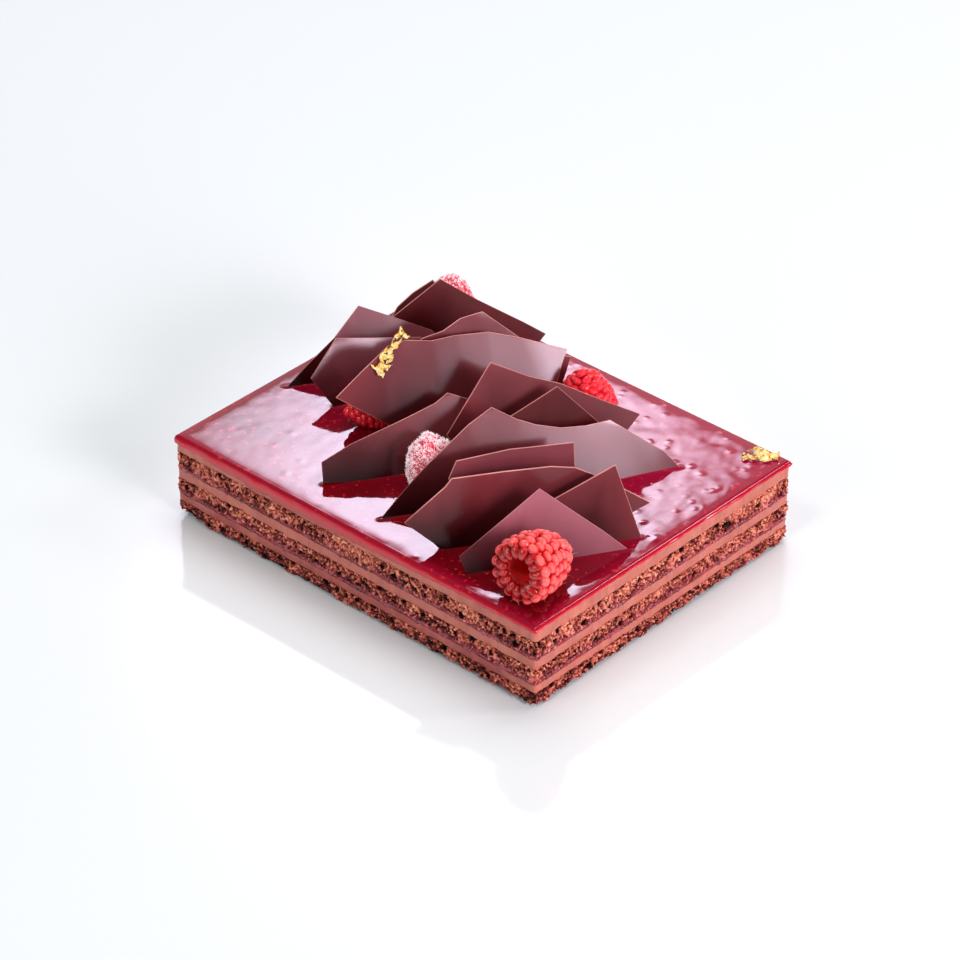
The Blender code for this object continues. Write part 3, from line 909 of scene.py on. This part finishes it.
def scattered_on(piece, pattern, count, size, spread, name, draws, favour=None):
    """Copies of a pattern standing on random faces of a piece, as one mesh."""
    # Sorted, because the operators number faces differently from run to run.
    faces = sorted((f for f in piece.data.polygons if f.area > 0), key=lambda f: tuple(f.center))
    weights = [f.area for f in faces]
    if favour is not None:
        weights = [w * (0.02 + favour[f.vertices[0]]) for w, f in zip(weights, faces)]
    base = points_of(pattern)
    corners = [tuple(f.vertices) for f in pattern.data.polygons]
    points, polygons = [], []
    for face in draws.choices(faces, weights, k=count):
        spot = face.center + Vector([draws.uniform(-0.4, 0.4) * sqrt(face.area)
                                     for _ in range(3)])
        lean = Vector([draws.gauss(0, spread) for _ in range(3)])
        way = (face.normal + lean).normalized()
        turn = way.to_track_quat("Z", "Y").to_matrix()
        turn = turn @ Matrix.Rotation(draws.uniform(0, 6), 3, "Z")
        scale = size * draws.uniform(0.5, 1.35)
        placed = base @ (np.array(turn) * scale).T + np.array(spot)
        first = len(points) * len(base)
        points.append(placed)
        polygons += [tuple(first + c for c in corner) for corner in corners]
    made = bpy.data.meshes.new(name)
    made.from_pydata(np.concatenate(points).tolist(), [], polygons)
    return linked(name, made)


# %% Raspberry materials


def raspberry_material(name, deep, skin, crown, rough):
    made, tree, shader = tinted(name, skin, rough, Subsurface_Weight=0.35,
                                Subsurface_Radius=(0.004, 0.0008, 0.0008),
                                Coat_Weight=0.5, Coat_Roughness=0.12)
    crowns = attribute_node(tree, "crown")
    level = math_node(tree, "MULTIPLY_ADD", noise_node(tree, 2.5 * MM, 3), 0.3,
                      math_node(tree, "MULTIPLY", crowns, 0.85))
    # Painted shade: the colour darkens deep between the drupelets and is palest on their crowns.
    colour = ramp_node(tree, level, ((0.15, deep), (0.6, skin), (1.0, crown)))
    wire(tree, shader, colour, noise_node(tree, 0.5 * MM, 3), 0.10 * MM, 0.5)
    return made


BERRY_SKINS = {
    "fresh": raspberry_material("fresh_raspberry_skin", (0.28, 0.0008, 0.0015),
                                (0.76, 0.011, 0.015), (0.92, 0.125, 0.115), 0.15),
    "ripe": raspberry_material("ripe_raspberry_skin", (0.26, 0.001, 0.003),
                               (0.66, 0.004, 0.012), (0.84, 0.018, 0.034), 0.16),
    "frosted": raspberry_material("frosted_raspberry_skin", (0.42, 0.003, 0.008),
                                  (0.60, 0.012, 0.028), (0.80, 0.08, 0.13), 0.5),
}
HAIR, _, _ = tinted("berry_hair", (0.86, 0.50, 0.42), 0.5)
# Frost has a painted glow: a faint emission brightens the crystals.
GLOWING_FROST, frost_tree, frost_shader = tinted("frost", (0.97, 0.95, 0.98), 0.4,
                                         Emission_Color=(1.0, 0.88, 0.92, 1),
                                         Emission_Strength=0.16)
frost_colour = ramp_node(frost_tree, noise_node(frost_tree, 2 * MM, 2),
                         ((0.32, (0.92, 0.70, 0.76)), (0.52, (0.98, 0.96, 0.98))))
frost_tree.links.new(frost_colour, frost_shader.inputs["Base Color"])

# %% Make the raspberries
drupelet = one_drupelet()
hair_pattern = one_spike("berry_hair", 3, 0.035, 0.006, 0.5)
crystal_pattern = one_spike("ice_crystal", 5, 0.16, 0.05, 0.32)


def raspberry(name, place, length, radius, heading, rise, hollow, finish):
    """Core, drupelets, hairs and frost of one berry, put in its place."""
    length, radius, hollow = length * MM, radius * MM, hollow * MM
    core = spun_core(name + "_core", length, radius, hollow)
    beads = join_copies(drupelet, ring_places(length, radius), name + "_drupelets")
    points = points_of(beads)
    skin = np.hypot(points[:, 0], points[:, 1]) - radius * np.interp(
        points[:, 2] / length, PROFILE_SHARES, PROFILE_RADII)
    crown = np.clip((skin + 1.3 * MM) / (1.6 * MM), 0.15, 1)
    paint_points(beads, "crown", crown)
    # Painted shade: the core darkens deeper into the hollow.
    paint_points(core, "crown", 0.75 - 0.3 * np.clip(points_of(core)[:, 2] / (9 * MM), 0, 1))
    skin_material = BERRY_SKINS[finish]
    core.data.materials.append(skin_material)
    beads.data.materials.clear()
    beads.data.materials.append(skin_material)
    hairs = scattered_on(beads, hair_pattern, HAIRS, HAIR_LENGTH, 0.5, name + "_hairs",
                         berry_draws)
    hairs.data.materials.append(HAIR)
    parts = [beads, core, hairs]
    if finish == "frosted":
        ice = scattered_on(beads, crystal_pattern, CRYSTALS, CRYSTAL_LENGTH, 0.45,
                           name + "_ice", berry_draws, crown ** 8)
        ice.data.materials.append(GLOWING_FROST)
        parts.append(ice)
    joined(parts)
    axis = way_to(radians(heading), radians(rise))
    beads.data.transform(axis.to_track_quat("Z", "Y").to_matrix().to_4x4())
    lowest = np.percentile(points_of(beads)[:, 2], 0.4)
    spot = (place[0] * MM, place[1] * MM, GLAZE_TOP - BERRY_SINK - lowest)
    beads.data.transform(Matrix.Translation(spot))
    bpy.ops.object.shade_smooth()
    beads.name = beads.data.name = name + "_ripe"
    return beads


for berry in RASPBERRIES:
    piece = raspberry(*berry)
    finish_piece(piece, "frosted_raspberry" if berry[-1] == "frosted" else "raspberry", berry[0])
for pattern in (drupelet, hair_pattern, crystal_pattern):
    bpy.data.objects.remove(pattern)

# %% [markdown]
# ## The mirror glaze
#
# The glaze was poured: it is level, with soft dents and the bumps of raspberry
# seeds, sags and rounds over the edges, and it runs down one long side. It
# climbs a little where a shard or a berry stands in it. A fine grid makes the
# top, rims are extruded from its edge and down the sides, and the points are
# then moved by those rules. Numbers on the points tell the material where light
# shines through from behind, where the edge is near and where the skirt thins.

# %% Glaze sizes
GLAZE_LENGTH = 170.6 * MM
GLAZE_WIDTH = 133.9 * MM
GLAZE_STEP = 0.56 * MM
GLAZE_RIM = 1.3 * MM
DENT, RIPPLE, WRINKLE = 0.08 * MM, 0.038 * MM, 0.010 * MM
SEEDS = 330
SEED_HEIGHTS = (0.03, 0.11)     # shares of a seed bump's width
STIR = 0.02 * MM
SHARD_CLIMB = 0.32 * MM
BERRY_CLIMB = 0.5 * MM
EDGE_SAG = 0.3 * MM
SKIRT_BULGE = 0.25 * MM
GLAZE_LOW = 31.3 * MM
DRIP_DEPTH = 3.1 * MM
DRIP_WAVE, DRIP_PITCH = 0.4 * MM, 17 * MM
DRIP_MIDDLE = -26 * MM
DRIP_REACH = 52 * MM
SIDE_ROWS = 7
glaze_draws = random.Random(12)


def poured_glaze():
    """A fine grid with a rounded rim and a skirt, closed underneath."""
    flat_length, flat_width = GLAZE_LENGTH - 2 * GLAZE_RIM, GLAZE_WIDTH - 2 * GLAZE_RIM
    bpy.ops.mesh.primitive_grid_add(x_subdivisions=round(flat_length / GLAZE_STEP),
                                    y_subdivisions=round(flat_width / GLAZE_STEP),
                                    size=1, location=(0, 0, GLAZE_TOP))
    glaze = just_made("mirror_glaze")
    glaze.scale = (flat_length, flat_width, 1)
    bpy.ops.object.transform_apply()
    mode("EDIT")
    pick(glaze, "EDGE", lambda e: e.is_boundary)
    reach, drop = 0.0, 0.0
    for turn in (30, 60, 90):
        angle = radians(turn)
        wider, lower = GLAZE_RIM * sin(angle), GLAZE_RIM * (1 - cos(angle))
        extrude_edges(drop - lower)
        grow = [(side + 2 * wider) / (side + 2 * reach) for side in (flat_length, flat_width)]
        bpy.ops.transform.resize(value=(*grow, 1), center_override=(0, 0, 0))
        reach, drop = wider, lower
    side = GLAZE_TOP - drop - GLAZE_LOW
    for _ in range(SIDE_ROWS):
        extrude_edges(-side / SIDE_ROWS)
    extrude_edges(0)
    back = [(s - 1.1 * MM) / s for s in (GLAZE_LENGTH, GLAZE_WIDTH)]
    bpy.ops.transform.resize(value=(*back, 1), center_override=(0, 0, 0))
    extrude_edges(0.3 * MM)
    bpy.ops.mesh.edge_face_add()
    pick_all()
    bpy.ops.mesh.normals_make_consistent()
    mode("OBJECT")
    return glaze


def inside_border(points):
    """How far points are inside the glaze's outline."""
    return np.minimum(GLAZE_LENGTH / 2 - np.abs(points[:, 0]),
                      GLAZE_WIDTH / 2 - np.abs(points[:, 1]))


def gap_to_foot(points, start, end):
    """Distance of points from a foot line on the glaze."""
    along = end - start
    share = np.clip(((points[:, :2] - start) @ along) / (along @ along), 0, 1)
    return np.linalg.norm(points[:, :2] - start - share[:, None] * along, axis=1)


# %% Shape the glaze
glaze = poured_glaze()
points = points_of(glaze)
top = points[:, 2] > GLAZE_TOP - 0.05 * MM
dents = np.array([noise.fractal(Vector((x, y, 0)) / (11 * MM), 1.0, 2.0, 2)
                  for x, y, _ in points])
ripples = noise_at(points, 4.2 * MM, 0.02)
wrinkles = noise_at(points * (1, 0.5, 1), 1.7 * MM, 0.05)
uneven = 0.3 + 0.7 * np.clip(1.6 * points[:, 0] / GLAZE_LENGTH + 0.4, 0, 1)
height = uneven * (DENT * dents + RIPPLE * ripples + WRINKLE * wrinkles)
for _ in range(SEEDS):
    x = glaze_draws.uniform(-0.49, 0.49) * GLAZE_LENGTH
    y = glaze_draws.uniform(-0.49, 0.49) * GLAZE_WIDTH
    crowded = (x / GLAZE_LENGTH + 0.5) * (y / GLAZE_WIDTH + 0.5)
    if glaze_draws.random() > 0.22 + 1.1 * crowded:
        continue
    wide = glaze_draws.uniform(0.7, 1.5) * MM
    close = np.abs(points[:, :2] - (x, y)) < 4 * wide
    near = np.flatnonzero(close.all(axis=1))
    away = np.hypot(points[near, 0] - x, points[near, 1] - y) / wide
    bump = glaze_draws.uniform(*SEED_HEIGHTS) * wide
    height[near] += uneven[near] * bump * np.exp(-away * away)
climb = np.zeros(len(points))
stirred = noise_at(points, 2.6 * MM, 0.07)
for start, end in feet:
    height += STIR * stirred * np.exp(-gap_to_foot(points, start, end) / (6 * MM))
    away = np.maximum(0, gap_to_foot(points, start, end) - 0.45 * MM)
    climb = np.maximum(climb, SHARD_CLIMB * np.exp(-away / (0.4 * MM)))
for _, (x, y), length, radius, heading, rise, _, _ in RASPBERRIES:
    turn = radians(heading)
    reach = 0.5 * length * cos(radians(rise))
    spot = np.array((x + reach * cos(turn), y + reach * sin(turn))) * MM
    away = np.hypot(points[:, 0] - spot[0], points[:, 1] - spot[1])
    climb = np.maximum(climb, BERRY_CLIMB * np.exp(-(away / (4.5 * MM)) ** 2))
inner = np.clip(inside_border(points) / (2.5 * MM), 0, 6)
sag = EDGE_SAG * np.exp(-1.2 * inner)
points[:, 2] += np.where(top, height * np.minimum(inner, 1) + climb - sag, 0)
move_points(glaze, points)

# %% Let it run down the side


def run_down(x):
    """How far the glaze hangs below its foot on the front side."""
    reach = (x - DRIP_MIDDLE) / DRIP_REACH
    wave = DRIP_WAVE * sin(2 * pi * x / DRIP_PITCH)
    return (DRIP_DEPTH + wave) * exp(-reach * reach)


points = points_of(glaze)
for k, (x, y, z) in enumerate(points):
    low = GLAZE_TOP - GLAZE_RIM
    if z > low:
        continue
    share = (low - z) / (low - GLAZE_LOW)
    if y < -GLAZE_WIDTH / 2 + 1.2 * MM:
        edge = 0.45 * MM * noise.noise(Vector((x, 0, 0)) / (3.1 * MM))
        points[k, 2] -= share * (run_down(x) + 0.3 * MM + edge)
    else:
        edge = 0.5 * MM * noise.noise(Vector((x, y, 0)) / (6 * MM))
        points[k, 2] += share * (0.2 * MM + edge)
    bulge = SKIRT_BULGE * (noise.noise(Vector((x, y, z)) / (5 * MM)) + 0.8)
    points[k, 0] += bulge * (1 if x > 0 else -1) * (abs(x) > GLAZE_LENGTH / 2 - 0.4 * MM)
    points[k, 1] += bulge * (1 if y > 0 else -1) * (abs(y) > GLAZE_WIDTH / 2 - 0.4 * MM)
move_points(glaze, points)


def glaze_material():
    made, tree, shader = tinted("raspberry_mirror_glaze", (0.30, 0.002, 0.010), 0.04,
                                IOR=1.5, Subsurface_Weight=0.15,
                                Subsurface_Radius=(0.004, 0.0005, 0.0008))
    broad = noise_node(tree, 26 * MM, 3)
    seeds = noise_node(tree, 2.0 * MM, 2)
    colour = ramp_node(tree, broad, ((0.3, (0.11, 0.0006, 0.003)), (0.7, (0.20, 0.0012, 0.008))))
    colour = blend_node(tree, attribute_node(tree, "lit_through"), colour, (0.32, 0.002, 0.037))
    edge = ramp_node(tree, attribute_node(tree, "near_edge"), ((0.2, (0, 0, 0)), (1, (1, 1, 1))))
    colour = blend_node(tree, edge, colour, (0.30, 0.002, 0.022))
    speck = ramp_node(tree, seeds, ((0.62, (0, 0, 0)), (0.71, (0.8, 0.8, 0.8))))
    colour = blend_node(tree, speck, colour, (0.66, 0.02, 0.03))
    skirt = ramp_node(tree, attribute_node(tree, "thin"), (
        (0.0, (0.36, 0.002, 0.010)), (0.22, (0.54, 0.005, 0.022)),
        (0.62, (0.62, 0.022, 0.044)), (1.0, (0.46, 0.060, 0.055))))
    lining = ramp_node(tree, attribute_node(tree, "thin"), ((0.0, (0, 0, 0)), (0.08, (1, 1, 1))))
    colour = blend_node(tree, lining, colour, skirt)
    tree.links.new(colour, shader.inputs["Base Color"])
    return made


below = GLAZE_TOP - 0.5 * GLAZE_RIM - points[:, 2]
paint_points(glaze, "thin", np.clip(below / (3.4 * MM), 0, 1))
paint_points(glaze, "lit_through", np.clip(1.3 * points[:, 1] / GLAZE_WIDTH + 0.45, 0, 1))
paint_points(glaze, "near_edge", np.clip(1 - inside_border(points) / (7 * MM), 0, 1))
smooth_and_finish(glaze, glaze_material(), "glaze", "raspberry_glaze")

# %% [markdown]
# ## Gold leaf
#
# Real gold leaf is far thinner than its solid and crumples into sharp folds.
# The upper side of the solid is kept as a sheet, cut finer, torn by deleting
# faces where a noise is high, creased with a Displace modifier and given a
# hair of thickness.

# %% Gold scraps
GOLD_CREASE = 1.8 * MM
GOLD_THICKNESS = 0.05 * MM
TORN_ABOVE = 0.36
gold_creases = clouds("gold_creases", 1.3 * MM, 3)


def gold_material():
    made, tree, shader = tinted("gold_leaf", (0.95, 0.66, 0.20), 0.34, Metallic=0.3)
    colour = ramp_node(tree, noise_node(tree, 1.4 * MM, 4), (
        (0.36, (0.50, 0.22, 0.02)), (0.46, (0.96, 0.66, 0.16)), (0.62, (1.0, 0.90, 0.50))))
    wire(tree, shader, colour, noise_node(tree, 0.5 * MM, 4), 0.15 * MM, 0.9)
    return made


def gold_scrap(node):
    """One scrap of leaf: a tent on the glaze, or a waisted ribbon on a shard."""
    mesh = nodes[node].data.copy()
    piece = linked(node + "_foil", mesh)
    work_on(piece)
    mode("EDIT")
    pick_all()
    bpy.ops.mesh.remove_doubles(threshold=0.005 * MM)
    pick(piece, "FACE", lambda f: f.normal.z < 0.25)
    bpy.ops.mesh.delete(type="FACE")
    pick_all()
    bpy.ops.mesh.subdivide(number_cuts=6)
    pick(piece, "FACE", lambda f: noise.noise(f.calc_center_median() / (1.7 * MM)) > TORN_ABOVE)
    bpy.ops.mesh.delete(type="FACE")
    mode("OBJECT")
    points = points_of(piece)
    middle = points.mean(axis=0)
    along = np.linalg.svd(points - middle, full_matrices=False)[2][0]
    along *= -1 if along[1] < 0 else 1
    share = (points - middle) @ along
    share = (share - share.min()) / np.ptp(share)
    if node == "gold_leaf_on_glaze":
        tent = np.interp(share, (0.0, 0.45, 1.0), (0.2, 1.0, 0.25))
        points[:, 2] = GLAZE_TOP + (points[:, 2] - GLAZE_TOP) * tent
    else:
        spine = middle + np.outer((points - middle) @ along, along)
        waist = np.interp(share, (0.0, 0.4, 0.55, 0.7, 1.0), (1.1, 1.1, 0.3, 0.8, 0.9))
        points = spine + (points - spine) * waist[:, None]
    move_points(piece, points)
    displace(piece, gold_creases, GOLD_CREASE, 0.5, "RGB_TO_XYZ", group="")
    apply_modifier(piece, "SOLIDIFY", thickness=GOLD_THICKNESS, offset=0.0)
    return piece


GOLD = gold_material()
for node in ("gold_leaf_on_shard", "gold_leaf_on_glaze"):
    piece = gold_scrap(node)
    piece.data.materials.clear()
    piece.data.materials.append(GOLD)
    finish_piece(piece, "gold_leaf", node)

# %% [markdown]
# ## Loose crumbs
#
# Cutting the cake leaves crumbs on its sides and along its foot. One crumb is
# a rough little ball with few faces; its copies are scattered over the walls
# of the sponges.

# %% Crumbs
CRUMBS, CRUMB_SIZE = 2300, 0.36 * MM
CRUMB_TONE = 0.6
crumb_draws = random.Random(5)


def one_crumb():
    bpy.ops.mesh.primitive_ico_sphere_add(subdivisions=2)
    crumb = just_made("crumb")
    rough = clouds("crumb_roughness", 0.9, 2)
    displace(crumb, rough, 1.5, 0.5, "RGB_TO_XYZ", group="")
    return crumb


crumb_pattern = one_crumb()
walls = []
for name, _, _ in SPONGES:
    copy = linked(name + "_wall", bpy.data.objects[name + "_crumb"].data.copy())
    work_on(copy)
    mode("EDIT")
    pick(copy, "FACE", lambda f: abs(f.normal.z) > 0.85 or len(f.verts) > 4)
    bpy.ops.mesh.delete(type="FACE")
    mode("OBJECT")
    walls.append(copy)
crumbs = scattered_on(joined(walls), crumb_pattern, CRUMBS, CRUMB_SIZE, 0.6, "loose_crumbs",
                      crumb_draws)
bpy.data.objects.remove(walls[0])
bpy.data.objects.remove(crumb_pattern)
points = points_of(crumbs)
points[:, 2] = np.maximum(points[:, 2], 0.02 * MM)
move_points(crumbs, points)
paint_points(crumbs, "standing_out", np.full(len(points), CRUMB_TONE))
smooth_and_finish(crumbs, SPONGE, "sponge")
